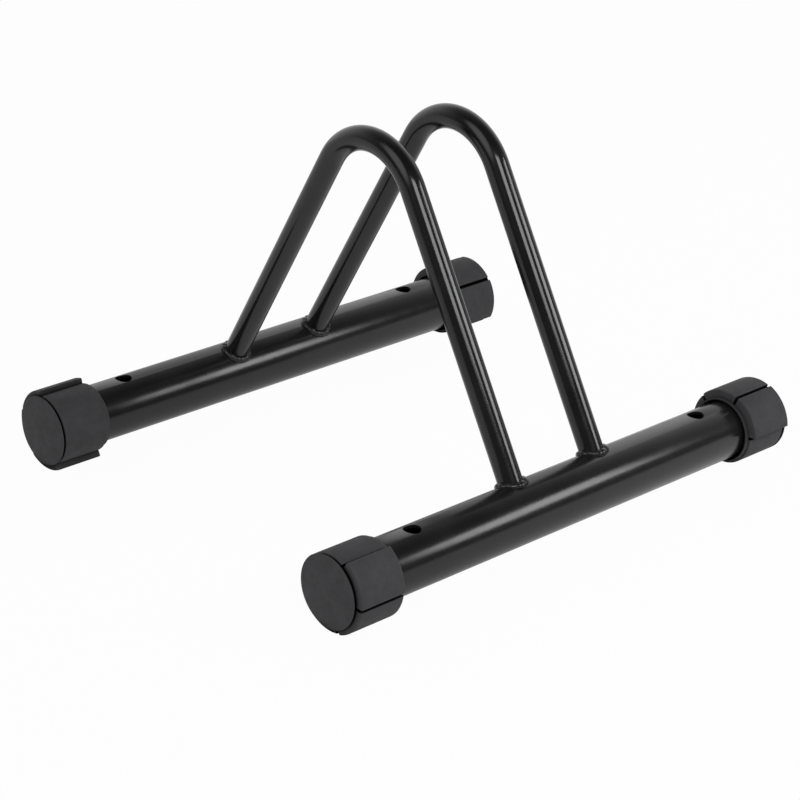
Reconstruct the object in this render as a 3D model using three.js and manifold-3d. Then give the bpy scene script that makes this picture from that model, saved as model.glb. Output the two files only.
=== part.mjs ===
// A floor stand for one bicycle. Two hoops of bent rod cross two base tubes, and a wheel stands between the hoops.
// Each end of a base tube turns in a rubber cap. The cap's rim steps up in sectors, so turning it levels the stand.
// Millimetres, +Z up. X runs along the base tubes, Y runs across them, and the floor is z = 0.

import * as THREE from 'three';
import { mergeVertices } from 'three/addons/utils/BufferGeometryUtils.js';
import Module from 'manifold-3d';

// Base tubes
const TUBE_RADIUS = 19.05;
const TUBE_WALL = 2;
const TUBE_LENGTH = 368;
const TUBE_SPACING = 277.4; // from one centre line to the other
const FIXING_HOLE_DIAMETER = 11;
const FIXING_HOLE_INSET = 59.5; // from the end of the tube

// Hoops
const ROD_RADIUS = 7.94;
const HOOP_SPACING = 71.3; // from one rod's centre line to the other
const HOOP_RISE = 200.5; // from the tubes' centre lines to the top of the rod's centre line
const BEND_RADIUS = 42.8; // of the rod's centre line
const LEG_OFFSET = 2.3; // how far outside a tube's centre line the leg's centre line passes

// Weld beads
const BEAD_RADIUS = 4.2; // around the corner between the rod and the tube

// Levelling caps
const CAP_LOW_RADIUS = 23.1; // of the band's plain part, and of the end disc
const CAP_FIRST_STEP = 3; // from the plain part to the lowest pad
const CAP_PAD_STEP = 0.6; // from one pad to the next
const CAP_PADS = 3;
const CAP_PAD_SWEEP = 68; // degrees
const CAP_SLOT_WIDTH = 2.1;
const CAP_SLOT_DEPTH = 2.3; // below the plain part, and of the groove behind the end disc
const CAP_BAND_LENGTH = 33.7;
const CAP_GROOVE_WIDTH = 1.1;
const CAP_DISC_LENGTH = 0.5;
const CAP_END_WALL = 5.1;
const CAP_COLLAR_RADIUS = 21.6;
const CAP_COLLAR_LENGTH = 2.6;
const CAP_COLLAR_ROOT = 0.5; // how far the collar runs on inside the band
const CAP_MOUTH_RADIUS = 20.4; // of the recess around the tube
const CAP_MOUTH_DEPTH = 4;

// How far each cap is turned, in degrees from the side to its lowest pad's outer edge
const CAP_TURNS = { front_left: 218, back_left: 98, front_right: 333, back_right: 4 };

// How far each cap stops short of being pushed fully on
const CAP_STANDOFFS = { front_left: 0, back_left: 0, front_right: 0, back_right: 4 };

const GAP = 0.3; // between pieces that touch
const OVERRUN = 1; // how far a cut runs past what it cuts
const ROUND_STEPS = 60; // around a tube or a cap
const ROD_STEPS = 32; // around a rod
const BEND_STEPS = 24; // along a hoop's bend
const BEAD_STEPS = 40; // along a weld bead
const BEAD_SIDES = 16; // around a weld bead's section
const MERGE_TOLERANCE = 1e-4;

// What follows from the sizes
const SIDES = { front: -1, back: 1 };
const ENDS = { left: -1, right: 1 };
const CAP_TOP_RADIUS = CAP_LOW_RADIUS + CAP_FIRST_STEP + (CAP_PADS - 1) * CAP_PAD_STEP;
const AXIS_HEIGHT = CAP_TOP_RADIUS;
const CAP_SEAT = TUBE_LENGTH / 2 + GAP; // where a cap's end wall starts
const CAP_FACE = CAP_SEAT + CAP_END_WALL;
// How much further the caps stand off at the right end than at the left, so that the rack's box stays centred
const CAP_LEAN_OUT = Math.max(CAP_STANDOFFS.front_right, CAP_STANDOFFS.back_right)
  - Math.max(CAP_STANDOFFS.front_left, CAP_STANDOFFS.back_left);
const BORE_RADIUS = TUBE_RADIUS + GAP;
const CAP_CORE_RADIUS = CAP_LOW_RADIUS - CAP_SLOT_DEPTH;
const BEND_CENTRE_HEIGHT = HOOP_RISE - BEND_RADIUS;
const LEG_REACH = TUBE_SPACING / 2 + LEG_OFFSET;
// The leg is tangent to the bend and passes LEG_REACH from the middle at the tubes' level.
const LEG_ANGLE = Math.acos(BEND_RADIUS / Math.hypot(LEG_REACH, BEND_CENTRE_HEIGHT))
  - Math.atan2(BEND_CENTRE_HEIGHT, LEG_REACH);

const blackPaint = { color: 0x15161a, roughness: 0.32, metalness: 0.1 };
const MATERIALS = {
  base_tube: { ...blackPaint, roughness: 0.4 },
  hoop: blackPaint,
  weld_bead: { ...blackPaint, roughness: 0.45 },
  levelling_cap: { color: 0x2b2b2f, roughness: 0.75, metalness: 0 },
};

const wasm = await Module();
wasm.setup();

/** The solid that a closed geometry encloses. */
function solidOf(geometry) {
  geometry.deleteAttribute('normal');
  geometry.deleteAttribute('uv');
  const merged = mergeVertices(geometry, MERGE_TOLERANCE);
  const corners = merged.index.array;
  const triVerts = [];
  for (let i = 0; i < corners.length; i += 3) {
    const [a, b, c] = corners.slice(i, i + 3);
    if (a !== b && b !== c && c !== a) triVerts.push(a, b, c);
  }
  const vertProperties = merged.attributes.position.array;
  const mesh = new wasm.Mesh({ numProp: 3, vertProperties, triVerts: new Uint32Array(triVerts) });
  return new wasm.Manifold(mesh);
}

/** A named mesh of a solid, in the material of its kind. */
function pieceOf(name, kind, solid) {
  const { vertProperties, triVerts } = solid.getMesh();
  const geometry = new THREE.BufferGeometry();
  geometry.setAttribute('position', new THREE.BufferAttribute(vertProperties, 3));
  geometry.setIndex(new THREE.BufferAttribute(triVerts, 1));
  geometry.computeVertexNormals();
  const piece = new THREE.Mesh(geometry, new THREE.MeshStandardMaterial(MATERIALS[kind]));
  piece.name = name;
  return piece;
}

/** A solid turned around the X axis from a closed outline of [x, radius] points. */
function turned(outline) {
  const points = [...outline, outline[0]].map(([x, radius]) => new THREE.Vector2(radius, x));
  return solidOf(new THREE.LatheGeometry(points, ROUND_STEPS).rotateZ(-Math.PI / 2));
}

/** A plain cylinder along X, from one x to another. */
function barAlongX(radius, from, to) {
  return turned([[from, 0], [from, radius], [to, radius], [to, 0]]);
}

/** A plain cylinder along Z, centred on the origin. */
function barAlongZ(radius, length) {
  return solidOf(new THREE.CylinderGeometry(radius, radius, length, ROUND_STEPS).rotateX(Math.PI / 2));
}

/** A base tube centred on the origin, with a hole right through it near each end. */
function baseTube() {
  const half = TUBE_LENGTH / 2;
  const bore = barAlongX(TUBE_RADIUS - TUBE_WALL, -half - OVERRUN, half + OVERRUN);
  let tube = barAlongX(TUBE_RADIUS, -half, half).subtract(bore);
  for (const end of Object.values(ENDS)) {
    const drill = barAlongZ(FIXING_HOLE_DIAMETER / 2, 2 * (TUBE_RADIUS + OVERRUN));
    tube = tube.subtract(drill.translate(end * (half - FIXING_HOLE_INSET), 0, 0));
  }
  return tube;
}

/** A base tube's place with clearance around it, for cutting what sits on the tube. */
function tubeClearance(side) {
  const reach = HOOP_SPACING + ROD_RADIUS;
  return barAlongX(TUBE_RADIUS + GAP, -reach, reach).translate(0, side * TUBE_SPACING / 2, 0);
}

/** A hoop's centre line in the YZ plane: one step for each leg, and the steps between them around the bend. */
class HoopLine extends THREE.Curve {
  getPoint(t) {
    const step = t * (BEND_STEPS + 2);
    const turn = Math.min(Math.max((step - 1) / BEND_STEPS, 0), 1);
    const sweep = Math.PI - 2 * LEG_ANGLE;
    const angle = LEG_ANGLE + (1 - turn) * sweep;
    const onBend = new THREE.Vector3(
      0,
      BEND_RADIUS * Math.cos(angle),
      BEND_CENTRE_HEIGHT + BEND_RADIUS * Math.sin(angle),
    );
    const alongLeg = Math.max(1 - step, step - 1 - BEND_STEPS, 0);
    return onBend.lerp(legEnd(step < 1 ? -1 : 1), alongLeg);
  }

  getUtoTmapping(u) {
    return u;
  }
}

/** Where a leg's centre line stops, inside the tube, before the tube's surface cuts it. */
function legEnd(side) {
  const height = ROD_RADIUS;
  return new THREE.Vector3(0, side * (LEG_REACH - height * Math.tan(LEG_ANGLE)), height);
}

/** A hoop in the YZ plane, its feet cut to the tubes. */
function hoop() {
  const section = new THREE.Shape().absarc(0, 0, ROD_RADIUS, 0, 2 * Math.PI);
  const options = { steps: BEND_STEPS + 2, curveSegments: ROD_STEPS, extrudePath: new HoopLine() };
  let rod = solidOf(new THREE.ExtrudeGeometry(section, options));
  for (const side of Object.values(SIDES)) rod = rod.subtract(tubeClearance(side));
  return rod;
}

/** The corner between a leg's surface and the tube's surface, all the way round the leg. */
class CornerLine extends THREE.Curve {
  constructor(side) {
    super();
    this.side = side;
  }

  getPoint(t) {
    const angle = 2 * Math.PI * t;
    const lean = Math.sin(LEG_ANGLE);
    const rise = Math.cos(LEG_ANGLE);
    const outward = ROD_RADIUS * Math.sin(angle);
    // How far up the leg its surface comes out of the tube, from the two surfaces' equations
    const middle = LEG_OFFSET * lean;
    const excess = LEG_OFFSET ** 2 + 2 * LEG_OFFSET * outward * rise + outward ** 2 - TUBE_RADIUS ** 2;
    const upLeg = middle + Math.sqrt(middle ** 2 - excess);
    return new THREE.Vector3(
      ROD_RADIUS * Math.cos(angle),
      this.side * (LEG_REACH - upLeg * lean + outward * rise),
      upLeg * rise + outward * lean,
    );
  }
}

/** A bead of weld around a hoop's foot, open for the rod and seated on the tube. */
function weldBead(side) {
  const line = new CornerLine(side);
  const bead = solidOf(new THREE.TubeGeometry(line, BEAD_STEPS, BEAD_RADIUS, BEAD_SIDES, true));
  const upLeg = new THREE.Vector3(0, -side * Math.sin(LEG_ANGLE), Math.cos(LEG_ANGLE));
  const foot = new THREE.Vector3(0, side * LEG_REACH, 0);
  const reach = TUBE_SPACING / 2;
  const space = new THREE.CylinderGeometry(ROD_RADIUS + GAP, ROD_RADIUS + GAP, reach, ROD_STEPS);
  const turn = new THREE.Quaternion().setFromUnitVectors(new THREE.Vector3(0, 1, 0), upLeg);
  const rodSpace = solidOf(space.applyQuaternion(turn)).translate(...foot);
  return bead.subtract(rodSpace).subtract(tubeClearance(side));
}

/** The outline of a cap's band: pads that rise in steps, then the plain part, with a notch wherever one meets the next. */
function bandOutline() {
  const notchRadius = CAP_CORE_RADIUS - OVERRUN;
  const outline = [];
  const addArc = (radius, from, to) => {
    const steps = Math.ceil(ROUND_STEPS * (to - from) / (2 * Math.PI));
    for (let step = 0; step <= steps; step++) {
      const angle = THREE.MathUtils.lerp(from, to, step / steps);
      outline.push(new THREE.Vector2(radius * Math.cos(angle), radius * Math.sin(angle)));
    }
  };
  const addStretch = (radius, from, to) => {
    const halfSlot = Math.asin(CAP_SLOT_WIDTH / 2 / radius);
    const halfNotch = Math.asin(CAP_SLOT_WIDTH / 2 / notchRadius);
    addArc(radius, from + halfSlot, to - halfSlot);
    addArc(notchRadius, to - halfNotch, to + halfNotch);
  };
  const sweep = THREE.MathUtils.degToRad(CAP_PAD_SWEEP);
  for (let pad = 0; pad < CAP_PADS; pad++) {
    addStretch(CAP_LOW_RADIUS + CAP_FIRST_STEP + pad * CAP_PAD_STEP, pad * sweep, (pad + 1) * sweep);
  }
  addStretch(CAP_LOW_RADIUS, CAP_PADS * sweep, 2 * Math.PI);
  return new THREE.Shape(outline);
}

/** A levelling cap on a tube along +X, closed at its far end, before it is turned. */
function levellingCap() {
  const discStart = CAP_FACE - CAP_DISC_LENGTH;
  const bandEnd = discStart - CAP_GROOVE_WIDTH;
  const bandStart = bandEnd - CAP_BAND_LENGTH;
  const collarEnd = bandStart + CAP_COLLAR_ROOT;
  const mouth = bandStart - CAP_COLLAR_LENGTH;
  const core = turned([
    [mouth, 0],
    [mouth, CAP_COLLAR_RADIUS],
    [collarEnd, CAP_COLLAR_RADIUS],
    [collarEnd, CAP_CORE_RADIUS],
    [discStart, CAP_CORE_RADIUS],
    [discStart, CAP_LOW_RADIUS],
    [CAP_FACE, CAP_LOW_RADIUS],
    [CAP_FACE, 0],
  ]);
  const alongX = new THREE.Matrix4().makeBasis(
    new THREE.Vector3(0, 1, 0),
    new THREE.Vector3(0, 0, 1),
    new THREE.Vector3(1, 0, 0),
  );
  const flat = new THREE.ExtrudeGeometry(bandOutline(), { depth: CAP_BAND_LENGTH, bevelEnabled: false });
  const band = solidOf(flat.applyMatrix4(alongX)).translate(bandStart, 0, 0);
  const bore = barAlongX(BORE_RADIUS, mouth - OVERRUN, CAP_SEAT);
  const recess = barAlongX(CAP_MOUTH_RADIUS, mouth - OVERRUN, mouth + CAP_MOUTH_DEPTH);
  return core.add(band).subtract(bore.add(recess));
}

const rack = new THREE.Group();
rack.position.set(-CAP_LEAN_OUT / 2, 0, AXIS_HEIGHT);

for (const [sideName, side] of Object.entries(SIDES)) {
  const tube = pieceOf(`${sideName}_base_tube`, 'base_tube', baseTube());
  tube.position.y = side * TUBE_SPACING / 2;
  rack.add(tube);
  for (const [endName, end] of Object.entries(ENDS)) {
    const corner = `${sideName}_${endName}`;
    const cap = pieceOf(`${corner}_levelling_cap`, 'levelling_cap', levellingCap());
    cap.rotation.x = THREE.MathUtils.degToRad(CAP_TURNS[corner]);
    const seat = new THREE.Group();
    seat.position.set(end * CAP_STANDOFFS[corner], side * TUBE_SPACING / 2, 0);
    seat.rotation.z = end < 0 ? Math.PI : 0;
    seat.add(cap);
    rack.add(seat);
  }
}

for (const [endName, end] of Object.entries(ENDS)) {
  const place = new THREE.Group();
  place.position.x = end * HOOP_SPACING / 2;
  place.add(pieceOf(`${endName}_hoop`, 'hoop', hoop()));
  for (const [sideName, side] of Object.entries(SIDES)) {
    place.add(pieceOf(`${endName}_hoop_${sideName}_weld`, 'weld_bead', weldBead(side)));
  }
  rack.add(place);
}

export default rack;
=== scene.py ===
# %% [markdown]
# # A floor stand for one bicycle
#
# Two hoops of bent rod stand on two base tubes, and the ends of the tubes turn in stepped rubber caps. The
# model that this script dresses already has each piece at its real size and place, in metres. Each piece is
# modelled again here with finer edges and rounder curves, and gets the finish of the real one.

# %% Load the plain model
import math

import bpy
from mathutils import Matrix, Vector


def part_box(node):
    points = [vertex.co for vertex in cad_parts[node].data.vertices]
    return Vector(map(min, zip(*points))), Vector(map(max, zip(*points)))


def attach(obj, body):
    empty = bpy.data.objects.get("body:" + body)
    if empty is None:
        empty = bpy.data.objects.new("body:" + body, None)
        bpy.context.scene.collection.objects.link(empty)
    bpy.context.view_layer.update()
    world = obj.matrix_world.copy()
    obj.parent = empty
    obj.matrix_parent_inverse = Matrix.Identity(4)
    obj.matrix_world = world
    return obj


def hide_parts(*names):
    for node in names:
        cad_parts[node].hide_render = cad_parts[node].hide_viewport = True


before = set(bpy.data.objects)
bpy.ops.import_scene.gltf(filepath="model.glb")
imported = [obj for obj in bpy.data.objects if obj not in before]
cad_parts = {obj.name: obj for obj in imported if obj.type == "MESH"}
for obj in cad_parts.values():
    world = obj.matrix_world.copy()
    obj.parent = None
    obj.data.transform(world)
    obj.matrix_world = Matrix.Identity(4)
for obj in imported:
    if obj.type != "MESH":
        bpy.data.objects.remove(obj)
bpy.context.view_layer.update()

# %% [markdown]
# ## Sizes
#
# A size that can be read off the plain model is read there, so the two always agree. The others are sizes
# of the real pieces, such as a tube's wall, and are named where they are first needed. The tubes' middle is
# a little off x = 0, because one cap stands off.

# %% Read the places of the base tubes
MM = 0.001
SIDES = {"front": -1, "back": 1}
ENDS = {"left": -1, "right": 1}

tube_low, tube_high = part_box("front_base_tube")
TUBE_RADIUS = (tube_high.z - tube_low.z) / 2
TUBE_LENGTH = tube_high.x - tube_low.x
AXIS_HEIGHT = (tube_high.z + tube_low.z) / 2
MIDDLE = (tube_high.x + tube_low.x) / 2
TUBE_OFFSET = -(tube_high.y + tube_low.y) / 2
print(f"Tubes {2 * TUBE_RADIUS / MM:.1f} mm thick, {TUBE_LENGTH / MM:.1f} mm long")

# %% [markdown]
# ## Camera
#
# The camera stands about 1.6 m away, a little above the stand and to its front left, with a long lens. It
# was placed so that the outlines of the tubes, the hoops and the caps fall on those in the photograph. That
# gives the camera's own right and up. Its back is square to both, and the three are the columns of its
# matrix.

# %% Place the camera
CAMERA_LENS = 110.74
CAMERA_SENSOR = 36
CAMERA_NEAREST = 0.05
CAMERA_PLACE = Vector((-1.00276 + MIDDLE, -1.05394, 0.67692 + AXIS_HEIGHT))
CAMERA_RIGHT = Vector((0.734904, -0.677599, 0.027844))
CAMERA_UP = Vector((0.261843, 0.321383, 0.910028))

camera_data = bpy.data.cameras.new("camera")
camera_data.lens = CAMERA_LENS
camera_data.sensor_width = CAMERA_SENSOR
camera_data.clip_start = CAMERA_NEAREST
camera = bpy.data.objects.new("camera", camera_data)
bpy.context.scene.collection.objects.link(camera)
camera_right = CAMERA_RIGHT.normalized()
camera_back = camera_right.cross(CAMERA_UP).normalized()
camera_up = camera_back.cross(camera_right)
turn = Matrix((camera_right, camera_up, camera_back)).transposed()
camera.matrix_world = Matrix.Translation(CAMERA_PLACE) @ turn.to_4x4()
bpy.context.scene.camera = camera
print("Camera", tuple(round(v, 3) for v in CAMERA_PLACE))

# %% [markdown]
# ## Finishes
#
# The steel has a black powder coat. A coat like that is baked from powder, so it is never quite flat: it
# has a fine ripple like orange peel, a millimetre or two across, and its gloss drifts a little from place
# to place. A picture of paint would have to be wrapped around each piece. Noise in the piece's own
# coordinates needs no wrapping, and as they are in metres, the grain has its real size.

# %% Tools for finishes
COLOUR_CHANGE = (0.35, 0.65)


def new_finish(name):
    finish = bpy.data.materials.new(name)
    finish.use_nodes = True
    return finish, finish.node_tree.nodes, finish.node_tree.links


def noise(finish, size, detail=3.0):
    """Noise whose lumps are about size metres across, from the object's coordinates."""
    nodes, links = finish.node_tree.nodes, finish.node_tree.links
    place = nodes.new("ShaderNodeTexCoord")
    pattern = nodes.new("ShaderNodeTexNoise")
    pattern.inputs["Scale"].default_value = 1 / size
    pattern.inputs["Detail"].default_value = detail
    links.new(place.outputs["Object"], pattern.inputs["Vector"])
    return pattern.outputs["Fac"]


def between(finish, factor, low, high, start=0.3, stop=0.7):
    """A number that runs from low to high as the factor runs from start to stop."""
    ramp = finish.node_tree.nodes.new("ShaderNodeMapRange")
    for socket, value in (("From Min", start), ("From Max", stop), ("To Min", low), ("To Max", high)):
        ramp.inputs[socket].default_value = value
    finish.node_tree.links.new(factor, ramp.inputs["Value"])
    return ramp.outputs["Result"]


def two_colours(finish, factor, first, second):
    """A colour that runs from the first to the second with a factor."""
    ramp = finish.node_tree.nodes.new("ShaderNodeValToRGB")
    for element, position, colour in zip(ramp.color_ramp.elements, COLOUR_CHANGE, (first, second)):
        element.position = position
        element.color = (*colour, 1)
    finish.node_tree.links.new(factor, ramp.inputs["Fac"])
    return ramp.outputs["Color"]


def bump(finish, height, depth, under=None):
    """A bump of depth metres from a height between 0 and 1, on top of another bump if one is given."""
    node = finish.node_tree.nodes.new("ShaderNodeBump")
    node.inputs["Distance"].default_value = depth
    node.inputs["Strength"].default_value = 1
    finish.node_tree.links.new(height, node.inputs["Height"])
    if under is not None:
        finish.node_tree.links.new(under, node.inputs["Normal"])
    return node.outputs["Normal"]


print("Noise changes from one colour to the other between", COLOUR_CHANGE)

# %% [markdown]
# The tubes, the rods and the welds share one kind of paint, so one function makes all three. It lies
# smoothest on the rods. On the welds it runs over lumps, so its ripple is deeper there.

# %% Black paint
COLOUR_DRIFT_SIZE = 30 * MM
GLOSS_DRIFT_SIZE = 12 * MM
PEEL_SIZE = 1.6 * MM
GRIT_SIZE = 0.35 * MM
GRIT_SHARE = 0.25


def black_paint(name, dark, light, gloss, peel_depth):
    """Baked black paint, with its gloss as a pair of roughnesses and its ripple's depth in metres."""
    finish, nodes, links = new_finish(name)
    shader = nodes["Principled BSDF"]
    colour = two_colours(finish, noise(finish, COLOUR_DRIFT_SIZE), dark, light)
    links.new(colour, shader.inputs["Base Color"])
    links.new(between(finish, noise(finish, GLOSS_DRIFT_SIZE), *gloss), shader.inputs["Roughness"])
    peel = bump(finish, noise(finish, PEEL_SIZE, detail=1.0), peel_depth)
    grit = bump(finish, noise(finish, GRIT_SIZE, detail=2.0), peel_depth * GRIT_SHARE, under=peel)
    links.new(grit, shader.inputs["Normal"])
    return finish


tube_paint = black_paint(
    "tube_paint",
    dark=(0.009, 0.009, 0.010),
    light=(0.013, 0.013, 0.014),
    gloss=(0.19, 0.24),
    peel_depth=0.012 * MM,
)
rod_paint = black_paint(
    "rod_paint",
    dark=(0.007, 0.007, 0.008),
    light=(0.011, 0.011, 0.012),
    gloss=(0.13, 0.18),
    peel_depth=0.008 * MM,
)
weld_paint = black_paint(
    "weld_paint",
    dark=(0.007, 0.007, 0.008),
    light=(0.012, 0.012, 0.013),
    gloss=(0.20, 0.34),
    peel_depth=0.09 * MM,
)
print("Black paints:", tube_paint.name, rod_paint.name, weld_paint.name)

# %% [markdown]
# The caps are plain black rubber. It is matte, with a fine grain from the mould, and paler in places where
# the rubber's own wax has come to the surface. Slots and corners get painted shade: the rubber there is
# mixed towards a nearly black matte, standing in for the shade that falls in them. They could be painted
# face by face, but how open a place is tells the two apart by itself.

# %% Rubber
RUBBER_DARK = (0.043, 0.043, 0.046)
RUBBER_PALE = (0.052, 0.052, 0.056)
RUBBER_ROUGHNESS = (0.68, 0.80)
BLOOM_SIZE = 9 * MM
ROUGH_PATCH_SIZE = 4 * MM
WAVE_SIZE = 3 * MM
WAVE_DEPTH = 0.03 * MM
GRAIN_SIZE = 0.3 * MM
GRAIN_DEPTH = 0.02 * MM
# Painted shade: the nearly black matte that slots and corners are mixed towards, and how open a place must
# be to escape it.
PAINTED_SHADE_BLACK = (0.006, 0.006, 0.006)
OPEN_WITHIN = 9 * MM
CORNER_TO_OPEN = (0.35, 0.92)


def moulded_rubber(name):
    """Matte black rubber with a fine moulded grain, a little paler in patches where it has bloomed, and
    with painted shade in its slots and corners.
    """
    finish, nodes, links = new_finish(name)
    shader = nodes["Principled BSDF"]
    patches = two_colours(finish, noise(finish, BLOOM_SIZE), RUBBER_DARK, RUBBER_PALE)
    links.new(patches, shader.inputs["Base Color"])
    roughness = between(finish, noise(finish, ROUGH_PATCH_SIZE), *RUBBER_ROUGHNESS)
    links.new(roughness, shader.inputs["Roughness"])
    wave = bump(finish, noise(finish, WAVE_SIZE, detail=1.0), WAVE_DEPTH)
    grain = bump(finish, noise(finish, GRAIN_SIZE, detail=2.0), GRAIN_DEPTH, under=wave)
    links.new(grain, shader.inputs["Normal"])
    # Painted shade: the less open a place is, the more the rubber turns to a nearly black matte.
    hollow = nodes.new("ShaderNodeBsdfDiffuse")
    hollow.inputs["Color"].default_value = (*PAINTED_SHADE_BLACK, 1)
    openness = nodes.new("ShaderNodeAmbientOcclusion")
    openness.inputs["Distance"].default_value = OPEN_WITHIN
    mix = nodes.new("ShaderNodeMixShader")
    links.new(between(finish, openness.outputs["AO"], 0.0, 1.0, *CORNER_TO_OPEN), mix.inputs["Fac"])
    links.new(hollow.outputs["BSDF"], mix.inputs[1])
    links.new(shader.outputs["BSDF"], mix.inputs[2])
    links.new(mix.outputs["Shader"], nodes["Material Output"].inputs["Surface"])
    return finish


cap_rubber = moulded_rubber("cap_rubber")
print("Rubber:", cap_rubber.name)

# %% [markdown]
# ## Helpers for modelling
#
# An operator acts on everything that is selected, so each piece starts with an empty selection. Faces and
# edges are then chosen in code, by where they are or which way they look, as a hand would pick them with
# the mouse.

# %% Select pieces and faces
def deselect_everything():
    bpy.ops.object.select_all(action="DESELECT")


def select_only(piece):
    deselect_everything()
    piece.select_set(True)
    bpy.context.view_layer.objects.active = piece


def pick_nothing(piece, kind):
    """Goes to object mode, with nothing picked on a piece, ready to pick its edges or its faces."""
    bpy.ops.object.mode_set(mode="OBJECT")
    bpy.context.tool_settings.mesh_select_mode = (False, kind == "EDGE", kind == "FACE")
    for items in (piece.data.vertices, piece.data.edges, piece.data.polygons):
        for item in items:
            item.select = False


def pick_faces(piece, wanted):
    """Goes to edit mode, with only the faces picked for which wanted(face) is true."""
    pick_nothing(piece, "FACE")
    for face in piece.data.polygons:
        face.select = wanted(face)
    bpy.ops.object.mode_set(mode="EDIT")


print("Pieces, edges and faces can be picked")

# %% [markdown]
# A finished piece has soft edges, because a mould, a file and paint all take the sharpness off. It is
# shaded smooth, and its place is in its mesh. Pieces that are alike are modelled once, and each copy has
# its own mesh.

# %% Round, finish, copy and dress a piece
SHARP_ANGLE = math.radians(40)
SMOOTH_ANGLE = math.radians(30)


def apply_place():
    """Puts the selected piece's place and turn into its mesh, so that its object sits at the origin."""
    bpy.ops.object.transform_apply(location=True, rotation=True, scale=True)


def round_edges(width, steps):
    """In edit mode, rounds every sharp edge."""
    bpy.ops.mesh.select_mode(type="EDGE")
    bpy.ops.mesh.select_all(action="DESELECT")
    bpy.ops.mesh.edges_select_sharp(sharpness=SHARP_ANGLE)
    bpy.ops.mesh.bevel(offset=width, segments=steps, affect="EDGES", clamp_overlap=True)
    bpy.ops.mesh.select_mode(type="FACE")


def settle(piece, name):
    """Leaves edit mode, applies a piece's place, shades it smooth and names it."""
    bpy.ops.object.mode_set(mode="OBJECT")
    select_only(piece)
    apply_place()
    bpy.ops.object.shade_smooth_by_angle(angle=SMOOTH_ANGLE)
    piece.name = name
    piece.data.name = name
    print(f"{name}: {len(piece.data.polygons)} faces")


def copy_of(piece, name, matrix):
    """A copy with its own mesh, moved by a matrix."""
    twin = piece.copy()
    twin.data = piece.data.copy()
    twin.data.transform(matrix)
    twin.name = name
    twin.data.name = name
    bpy.context.scene.collection.objects.link(twin)
    return twin


def dress(piece, node, body, finish):
    """Gives a piece its finish, and lets it stand for a node of the plain model and move with a body."""
    piece.data.materials.clear()
    piece.data.materials.append(finish)
    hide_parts(node)
    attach(piece, body)


print(f"Edges sharper than {math.degrees(SHARP_ANGLE):.0f} degrees get rounded")

# %% [markdown]
# ## Base tubes
#
# A base tube is plain drawn steel tube, with a hole drilled down through it near each end for a floor
# screw. The bore could be cut with a second cylinder, but an inset keeps the wall even all round: the tube
# starts as a cylinder, its end faces are inset by the wall, and a bridge between the insets makes the bore.
# A boolean drills the holes, as a drill would. Then the edges of the holes and of the ends are rounded,
# because paint softens them.

# %% Model one base tube
TUBE_WALL = 2 * MM
TUBE_SIDES = 192
TUBE_ROUNDING = 0.35 * MM
HOLE_RADIUS = 5.5 * MM
HOLE_FROM_MIDDLE = 124.5 * MM
HOLE_SIDES = 64
FACING = 0.9


def cylinder_along_x(sides, radius, length, place):
    deselect_everything()
    bpy.ops.mesh.primitive_cylinder_add(
        vertices=sides, radius=radius, depth=length, location=place, rotation=(0, math.pi / 2, 0)
    )
    return bpy.context.object


def drill(x, y):
    """An upright cylinder as thick as a fixing hole, and longer than the tube is high."""
    deselect_everything()
    bpy.ops.mesh.primitive_cylinder_add(
        vertices=HOLE_SIDES, radius=HOLE_RADIUS, depth=3 * TUBE_RADIUS, location=(x, y, AXIS_HEIGHT)
    )
    return bpy.context.object


def cut(piece, tool):
    """Cuts a tool's shape out of a piece, and throws the tool away."""
    select_only(piece)
    modifier = piece.modifiers.new("cut", "BOOLEAN")
    modifier.operation = "DIFFERENCE"
    modifier.solver = "EXACT"
    modifier.object = tool
    bpy.ops.object.modifier_apply(modifier=modifier.name)
    bpy.data.objects.remove(tool)


def base_tube(name, y):
    tube = cylinder_along_x(TUBE_SIDES, TUBE_RADIUS, TUBE_LENGTH, (MIDDLE, y, AXIS_HEIGHT))
    apply_place()
    pick_faces(tube, lambda face: abs(face.normal.x) > FACING)
    bpy.ops.mesh.inset(thickness=TUBE_WALL)
    bpy.ops.mesh.bridge_edge_loops()
    bpy.ops.object.mode_set(mode="OBJECT")
    for end in ENDS.values():
        cut(tube, drill(MIDDLE + end * HOLE_FROM_MIDDLE, y))
    bpy.ops.object.mode_set(mode="EDIT")
    round_edges(TUBE_ROUNDING, steps=3)
    settle(tube, name)
    return tube


front_tube = base_tube("front_tube_drilled", -TUBE_OFFSET)
back_tube = copy_of(front_tube, "back_tube_drilled", Matrix.Translation((0, 2 * TUBE_OFFSET, 0)))
dress(front_tube, "front_base_tube", "root", tube_paint)
dress(back_tube, "back_base_tube", "root", tube_paint)

# %% [markdown]
# ## Hoops
#
# A hoop is one straight rod bent once, in the middle. A curve with a round section could make it, but it is
# made here the way it is bent, with the bend as true as a bending former's: a round face is extruded up one
# leg, spun about the bend's centre, and extruded down the other leg. The legs lean in by an angle that
# follows from the bend and from where the feet stand, because a leg is tangent to the bend.

# %% Work out the hoop's line
hoop_low, hoop_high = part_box("right_hoop")
ROD_RADIUS = (hoop_high.x - hoop_low.x) / 2
HOOP_OFFSET = (hoop_high.x + hoop_low.x) / 2 - MIDDLE
HOOP_TOP = hoop_high.z - ROD_RADIUS
BEND_RADIUS = 42.8 * MM
LEG_OFFSET = 2.3 * MM

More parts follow.
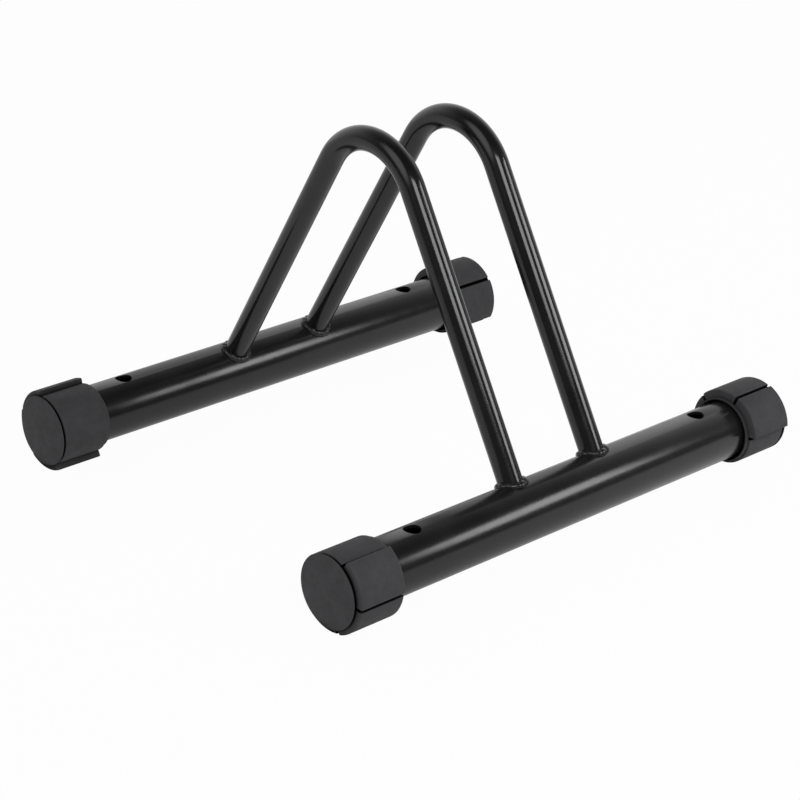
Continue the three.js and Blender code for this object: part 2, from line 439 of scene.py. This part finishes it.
BEND_CENTRE_HEIGHT = HOOP_TOP - BEND_RADIUS
bend_rise = BEND_CENTRE_HEIGHT - AXIS_HEIGHT
leg_reach = TUBE_OFFSET + LEG_OFFSET
LEG_LEAN = math.acos(BEND_RADIUS / math.hypot(leg_reach, bend_rise)) - math.atan2(bend_rise, leg_reach)
bend_start_height = BEND_CENTRE_HEIGHT + BEND_RADIUS * math.sin(LEG_LEAN)
leg_end = Vector((0, BEND_RADIUS * math.cos(LEG_LEAN), bend_start_height))
leg_foot = Vector((0, leg_reach, AXIS_HEIGHT))
print(f"Rods {2 * ROD_RADIUS / MM:.1f} mm thick, legs {math.degrees(LEG_LEAN):.1f} degrees from upright")

# %% [markdown]
# The legs first run down to the height of the tubes' axes. Each foot is then cut to the tube's curve, as a
# fitter copes it. It ends in the middle of the wall, where welding has melted the two together.

# %% Bend one hoop
ROD_SIDES = 64
BEND_STEPS = 48
COPE_SIDES = 128
SAME_POINT = 0.001 * MM


def push_out(move):
    """Extrudes the selected faces along a vector."""
    bpy.ops.mesh.extrude_region_move(TRANSFORM_OT_translate={"value": move})


def cope_foot(rod, side):
    """Cuts the foot of a leg to the curve of the tube that it stands on."""
    tube_place = (0, side * TUBE_OFFSET, AXIS_HEIGHT)
    cut(rod, cylinder_along_x(COPE_SIDES, TUBE_RADIUS - TUBE_WALL / 2, TUBE_LENGTH, tube_place))


def hoop(name, x):
    up_leg = leg_end - leg_foot
    deselect_everything()
    bpy.ops.mesh.primitive_circle_add(
        vertices=ROD_SIDES,
        radius=ROD_RADIUS,
        fill_type="NGON",
        location=leg_foot + Vector((x, 0, 0)),
        rotation=up_leg.to_track_quat("Z", "X").to_euler(),
    )
    rod = bpy.context.object
    apply_place()
    bpy.ops.object.mode_set(mode="EDIT")
    bpy.ops.mesh.select_all(action="SELECT")
    push_out(up_leg)
    sweep = math.pi - 2 * LEG_LEAN
    bpy.ops.mesh.spin(steps=BEND_STEPS, angle=-sweep, center=(x, 0, BEND_CENTRE_HEIGHT), axis=(1, 0, 0))
    push_out((0, up_leg.y, -up_leg.z))
    bpy.ops.mesh.select_all(action="SELECT")
    bpy.ops.mesh.remove_doubles(threshold=SAME_POINT)
    bpy.ops.mesh.normals_make_consistent(inside=False)
    bpy.ops.object.mode_set(mode="OBJECT")
    for side in SIDES.values():
        cope_foot(rod, side)
    settle(rod, name)
    return rod


right_rod = hoop("right_hoop_bent", MIDDLE + HOOP_OFFSET)
left_rod = copy_of(right_rod, "left_hoop_bent", Matrix.Translation((-2 * HOOP_OFFSET, 0, 0)))
dress(right_rod, "right_hoop", "root", rod_paint)
dress(left_rod, "left_hoop", "root", rod_paint)

# %% [markdown]
# ## Weld beads
#
# Each foot is welded all the way round. The bead follows the corner between two round surfaces, so it rises
# and falls like a saddle, and it is laid in short puddles, each lapped over the last. A bent curve would
# need many points to do that. A ring is a simpler start: every point of it moves up the leg to the corner's
# height, and the ring swells and shrinks with each puddle. A few slow waves make no two puddles quite
# alike.

# %% Work out the corner and the puddles
BEAD_PUDDLES = 13
PUDDLE_DEPTH = 0.09
PUDDLE_UNEVENNESS = 0.20
UNEVEN_WAVES = ((3, 1), (5, 2), (9, 0))


def corner_height(angle):
    """How far up the leg the rod leaves the tube, from the tube's axis, at an angle round the rod."""
    outward = ROD_RADIUS * math.sin(angle)
    middle = LEG_OFFSET * math.sin(LEG_LEAN)
    excess = LEG_OFFSET**2 + 2 * LEG_OFFSET * outward * math.cos(LEG_LEAN) + outward**2 - TUBE_RADIUS**2
    return middle + math.sqrt(middle**2 - excess)


def puddle_size(angle):
    """The bead's thickness at an angle, as a share of its usual thickness."""
    along = angle / (2 * math.pi) * BEAD_PUDDLES % 1
    lap = along * (1 - along) * 4
    waves = sum(math.sin(count * angle + start) for count, start in UNEVEN_WAVES) / len(UNEVEN_WAVES)
    return 1 - PUDDLE_DEPTH * (1 - lap) + PUDDLE_UNEVENNESS * (waves - 1) / 2


side_height, crown_height = corner_height(math.pi / 2), corner_height(0)
print(f"Along the leg, the corner falls {(crown_height - side_height) / MM:.1f} mm from crown to side")

# %% Lay one bead, and copy it to each foot
BEAD_RADIUS = 3.0 * MM
BEAD_STEPS = 180
BEAD_SIDES = 24


def weld_bead(name):
    """A bead around the back leg of a hoop at x = 0, seated on the back tube."""
    deselect_everything()
    bpy.ops.mesh.primitive_torus_add(
        major_segments=BEAD_STEPS,
        minor_segments=BEAD_SIDES,
        major_radius=ROD_RADIUS,
        minor_radius=BEAD_RADIUS,
    )
    bead = bpy.context.object
    for vertex in bead.data.vertices:
        angle = math.atan2(vertex.co.y, vertex.co.x)
        on_rod = Vector((ROD_RADIUS * math.cos(angle), ROD_RADIUS * math.sin(angle), 0))
        from_corner = (vertex.co - on_rod) * puddle_size(angle)
        vertex.co = on_rod + from_corner + Vector((0, 0, corner_height(angle)))
    lean = Matrix.Rotation(LEG_LEAN, 4, "X")
    bead.data.transform(Matrix.Translation(leg_foot) @ lean)
    settle(bead, name)
    return bead


first_bead = weld_bead("first_bead")
half_turn = Matrix.Rotation(math.pi, 4, "Z")
for end_name, end in ENDS.items():
    across = Matrix.Translation((MIDDLE + end * HOOP_OFFSET, 0, 0))
    for side_name, side in SIDES.items():
        facing = Matrix() if side > 0 else half_turn
        bead = copy_of(first_bead, f"{end_name}_hoop_{side_name}_bead", across @ facing)
        dress(bead, f"{end_name}_hoop_{side_name}_weld", "root", weld_paint)
bpy.data.objects.remove(first_bead)

# %% [markdown]
# ## Levelling caps
#
# A cap is one moulding of rubber, with a collar around the tube, a band, and a thin disc at its closed end.
# Three pads stand out from the band, each a little higher than the last, and the rest of the band is plain.
# A slot parts each of them from the next, and a groove parts the band from the disc. The cap is drawn with
# a side for every degree, so that the sweep of a pad or a slot is a whole number of sides.

# %% Name the cap's sizes
cap_low, cap_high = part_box("front_right_levelling_cap")
CAP_FACE = cap_high.x - MIDDLE
CAP_MOUTH = cap_low.x - MIDDLE
FULL_TURN = 360
CAP_SIDES = FULL_TURN
PLAIN_RADIUS = 23.1 * MM
PAD_RADII = (26.1 * MM, 26.7 * MM, 27.3 * MM)
PAD_SWEEP = 68
SLOT_SIDES = 5
SLOT_RADIUS = 20.8 * MM
COLLAR_RADIUS = 21.6 * MM
COLLAR_LENGTH = 2.6 * MM
GROOVE_WIDTH = 1.5 * MM
DISC_LENGTH = 0.5 * MM
MOUTH_RADIUS = 20.4 * MM
MOUTH_DEPTH = 4 * MM
BORE_CLEARANCE = 0.3 * MM
BORE_RADIUS = TUBE_RADIUS + BORE_CLEARANCE
END_WALL = 5.1 * MM
BAND_START = CAP_MOUTH + COLLAR_LENGTH
BAND_END = CAP_FACE - DISC_LENGTH - GROOVE_WIDTH
print("The pads stand out to", [round(radius / MM, 1) for radius in PAD_RADII], "mm")

# %% [markdown]
# The cap could be spun from its section, but then each pad would have to be cut free. It is drawn out of a
# short cylinder instead, face by face, along +X. The band stays as thin as the collar at first, and this
# core is what the pads are pushed out of later. The hollow is pushed in from the other end, in the same
# way.

# %% Draw the cap out of a cylinder
def end_face(piece, direction):
    """Picks the widest face that looks along X in a direction."""
    bpy.ops.object.mode_set(mode="OBJECT")
    looking = [face for face in piece.data.polygons if face.normal.x * direction > FACING]
    widest = max(looking, key=lambda face: face.area).index
    pick_faces(piece, lambda face: face.index == widest)


def grow(factor):
    """Extrudes the selected faces, and scales the new ones by a factor about the X axis."""
    bpy.ops.mesh.extrude_region_move(TRANSFORM_OT_translate={"value": (0, 0, 0)})
    bpy.ops.transform.resize(value=(1, factor, factor), center_override=(0, 0, 0))


def drawn_cap():
    """The cap's body and hollow, around the X axis, with the band still as thin as the collar."""
    cap = cylinder_along_x(CAP_SIDES, COLLAR_RADIUS, COLLAR_LENGTH, (CAP_MOUTH + COLLAR_LENGTH / 2, 0, 0))
    apply_place()
    end_face(cap, 1)
    push_out((BAND_END - BAND_START, 0, 0))
    push_out((GROOVE_WIDTH, 0, 0))
    grow(PLAIN_RADIUS / COLLAR_RADIUS)
    push_out((DISC_LENGTH, 0, 0))
    end_face(cap, -1)
    grow(MOUTH_RADIUS / COLLAR_RADIUS)
    push_out((MOUTH_DEPTH, 0, 0))
    grow(BORE_RADIUS / MOUTH_RADIUS)
    push_out((CAP_FACE - END_WALL - CAP_MOUTH - MOUTH_DEPTH, 0, 0))
    return cap


print(f"The hollow is {(CAP_FACE - END_WALL - CAP_MOUTH) / MM:.1f} mm deep")

# %% [markdown]
# Each pad, and the plain part, is then the core's faces between two angles, pushed out by its own amount.
# What is left of the core is the slots and the groove, and they are pushed in together.

# %% Tell the cap's faces and edges apart
CORE_SLACK = 0.05 * MM
SIDEWAYS = 0.1
LEVEL_SLACK = 0.01 * MM
RIM_SLACK = 0.1 * MM


def degrees_round(face):
    """Where a face's middle lies round the X axis, from 0 to 360 degrees."""
    return math.degrees(math.atan2(face.center.z, face.center.y)) % FULL_TURN


def from_axis(point):
    return math.hypot(point.y, point.z)


def on_core(face, end):
    """Whether a face is part of the cap's side as it was first drawn, from the band's start to an end."""
    drawn = abs(from_axis(face.center) - COLLAR_RADIUS) < CORE_SLACK
    return drawn and abs(face.normal.x) < SIDEWAYS and BAND_START < face.center.x < end


def pick_band_rims(piece):
    """Goes to edit mode, with the edges picked that run round the band's two ends, at its outside."""
    pick_nothing(piece, "EDGE")
    points = piece.data.vertices
    for edge in piece.data.edges:
        first, second = (points[i].co for i in edge.vertices)
        from_end = min(abs(first.x - x) for x in (BAND_START, BAND_END))
        at_end = from_end < LEVEL_SLACK and abs(first.x - second.x) < LEVEL_SLACK
        round_axis = abs(from_axis(first) - from_axis(second)) < LEVEL_SLACK
        edge.select = at_end and round_axis and from_axis(first) > PLAIN_RADIUS - RIM_SLACK
    bpy.ops.object.mode_set(mode="EDIT")


print(f"The band runs from x = {BAND_START / MM:.1f} to {BAND_END / MM:.1f} mm on a right end")

# %% Push out its pads, and push in its slots and groove
BAND_ROUNDING = 0.9 * MM
EDGE_ROUNDING = 0.22 * MM


def levelling_cap(name):
    """A cap for a tube's right end, around the X axis, with its lowest pad from 0 degrees on."""
    cap = drawn_cap()
    stretches = [(radius, pad * PAD_SWEEP, (pad + 1) * PAD_SWEEP) for pad, radius in enumerate(PAD_RADII)]
    stretches.append((PLAIN_RADIUS, len(PAD_RADII) * PAD_SWEEP, FULL_TURN))
    for radius, start, stop in stretches:
        first = start + (SLOT_SIDES + 1) / 2
        last = stop - (SLOT_SIDES - 1) / 2
        pick_faces(cap, lambda face: on_core(face, BAND_END) and first < degrees_round(face) < last)
        grow(radius / COLLAR_RADIUS)
    pick_faces(cap, lambda face: on_core(face, CAP_FACE - DISC_LENGTH))
    grow(SLOT_RADIUS / COLLAR_RADIUS)
    pick_band_rims(cap)
    bpy.ops.mesh.bevel(offset=BAND_ROUNDING, segments=4, affect="EDGES", clamp_overlap=True)
    round_edges(EDGE_ROUNDING, steps=2)
    settle(cap, name)
    return cap


first_cap = levelling_cap("first_cap")

# %% [markdown]
# All four caps come out of one mould, so one is copied to each end of each tube. On a left end it is turned
# half round to face the other way. Each is also turned about the tube, to level the stand, and one isn't
# pushed home.

# %% Put a cap on each end of each tube
CAP_TURNS = {"front_left": 218, "back_left": 98, "front_right": 333, "back_right": 4}
CAP_STANDOFFS = {"front_left": 0, "back_left": 0, "front_right": 0, "back_right": 4 * MM}

for side_name, side in SIDES.items():
    for end_name, end in ENDS.items():
        corner = f"{side_name}_{end_name}"
        turned = Matrix.Rotation(math.radians(CAP_TURNS[corner]), 4, "X")
        facing = Matrix() if end > 0 else half_turn
        place = (MIDDLE + end * CAP_STANDOFFS[corner], side * TUBE_OFFSET, AXIS_HEIGHT)
        cap = copy_of(first_cap, f"{corner}_cap_moulded", Matrix.Translation(place) @ facing @ turned)
        dress(cap, f"{corner}_levelling_cap", f"{corner}_cap", cap_rubber)
        print(f"{corner} cap turned by {CAP_TURNS[corner]} degrees")
bpy.data.objects.remove(first_cap)

# %% [markdown]
# ## Floor
#
# The floor is plain and pale. A floor under soft light never quite reaches white, so the camera sees it
# lifted by a glow, and so, by half as much, does the stand's glossy paint. The light on the floor still
# shows through a little, which leaves a faint shadow under the stand.

# %% Lay the floor
FLOOR_SIZE = 60
FLOOR_GREY = (0.8, 0.8, 0.8)
FLOOR_ROUGHNESS = 0.9
FLOOR_GLOW = {"Is Camera Ray": 0.97, "Is Transmission Ray": 0.97, "Is Glossy Ray": 0.45}


def worked_out(nodes, links, operation, *values):
    """The result of a sum on two values, each of them a socket or a plain number."""
    node = nodes.new("ShaderNodeMath")
    node.operation = operation
    for socket, value in zip(node.inputs, values):
        if isinstance(value, float):
            socket.default_value = value
        else:
            links.new(value, socket)
    return node.outputs["Value"]


def pale_floor():
    finish, nodes, links = new_finish("pale_floor")
    shader = nodes["Principled BSDF"]
    shader.inputs["Base Color"].default_value = (*FLOOR_GREY, 1)
    shader.inputs["Roughness"].default_value = FLOOR_ROUGHNESS
    glow = nodes.new("ShaderNodeEmission")
    glow.inputs["Color"].default_value = (1, 1, 1, 1)
    rays = nodes.new("ShaderNodeLightPath")
    mix = nodes.new("ShaderNodeMixShader")
    share = 0.0
    for ray, amount in FLOOR_GLOW.items():
        part = worked_out(nodes, links, "MULTIPLY", rays.outputs[ray], amount)
        share = worked_out(nodes, links, "MAXIMUM", share, part)
    links.new(share, mix.inputs["Fac"])
    links.new(shader.outputs["BSDF"], mix.inputs[1])
    links.new(glow.outputs["Emission"], mix.inputs[2])
    links.new(mix.outputs["Shader"], nodes["Material Output"].inputs["Surface"])
    return finish


deselect_everything()
bpy.ops.mesh.primitive_plane_add(size=FLOOR_SIZE, location=(0, 0, 0))
floor = bpy.context.object
floor.name = "floor"
floor.data.materials.append(pale_floor())
print(f"Floor laid, {FLOOR_SIZE} m across")

# %% [markdown]
# ## Light
#
# A black thing is shaped by what it mirrors. The world is the studio's walls: white behind the stand, dim
# on the viewer's side and dimmer overhead, with a bright patch high up to the left. Each fades with the
# direction that is looked in, so no wall has an edge that would show in the paint.

# %% Make the studio's walls
BEHIND_STAND = (0.53, 0.85, 0)
OVERHEAD = (0, 0, 1)
HIGH_LEFT = (-0.75, -0.05, 0.66)


def faded(nodes, links, direction, start, stop, low, high):
    """A number that runs smoothly from low to high as a direction's dot product runs from start to stop."""
    away = nodes.new("ShaderNodeVectorMath")
    away.operation = "DOT_PRODUCT"
    away.inputs[1].default_value = direction
    place = nodes.new("ShaderNodeTexCoord")
    links.new(place.outputs["Generated"], away.inputs[0])
    fade = nodes.new("ShaderNodeMapRange")
    fade.interpolation_type = "SMOOTHSTEP"
    for socket, value in (("From Min", start), ("From Max", stop), ("To Min", low), ("To Max", high)):
        fade.inputs[socket].default_value = value
    links.new(away.outputs["Value"], fade.inputs["Value"])
    return fade.outputs["Result"]


def studio_world():
    world = bpy.data.worlds.new("studio")
    bpy.context.scene.world = world
    world.use_nodes = True
    nodes, links = world.node_tree.nodes, world.node_tree.links
    back = nodes["Background"]
    walls = faded(nodes, links, BEHIND_STAND, start=-0.05, stop=0.8, low=0.12, high=1.0)
    ceiling = faded(nodes, links, OVERHEAD, start=0.45, stop=0.87, low=1.0, high=0.38)
    patch = faded(nodes, links, HIGH_LEFT, start=0.86, stop=0.98, low=0.0, high=1.4)
    dimmed = worked_out(nodes, links, "MULTIPLY", walls, ceiling)
    links.new(worked_out(nodes, links, "ADD", dimmed, patch), back.inputs["Strength"])
    back.inputs["Color"].default_value = (1, 1, 1, 1)


studio_world()
print("The walls are up:", bpy.context.scene.world.name)

# %% [markdown]
# Two soft boxes give the rods and the tubes their bright streaks: one to the front right, and one higher up
# and nearly in front. A flat lamp with a width and a height is mirrored as a streak with soft ends, where a
# point lamp would only make a spark.

# %% Set up the soft boxes
AIM = Vector((0, 0, 0.08))
SOFT_BOX_DISTANCE = 1.5


def soft_box(name, azimuth, elevation, width, height, brightness):
    """A flat lamp that looks at the stand. Its brightness is how bright its face is, where 1 is white."""
    lamp_data = bpy.data.lights.new(name, "AREA")
    lamp_data.shape = "RECTANGLE"
    lamp_data.size = width
    lamp_data.size_y = height
    lamp_data.energy = brightness * math.pi * width * height
    lamp = bpy.data.objects.new(name, lamp_data)
    bpy.context.scene.collection.objects.link(lamp)
    a, e = math.radians(azimuth), math.radians(elevation)
    towards = Vector((math.cos(a) * math.cos(e), math.sin(a) * math.cos(e), math.sin(e)))
    lamp.location = AIM + towards * SOFT_BOX_DISTANCE
    lamp.rotation_euler = towards.to_track_quat("Z", "Y").to_euler()
    print(f"{name}: {lamp_data.energy:.1f} W")


soft_box("right_soft_box", azimuth=-52.5, elevation=25, width=0.66, height=0.42, brightness=6.5)
soft_box("left_soft_box", azimuth=-108, elevation=36, width=0.62, height=0.46, brightness=6.0)

# %% [markdown]
# ## Finish
#
# The standard view shows colours as they are written.

# %% Colours as written
bpy.context.scene.view_settings.view_transform = "Standard"
print("View:", bpy.context.scene.view_settings.view_transform)
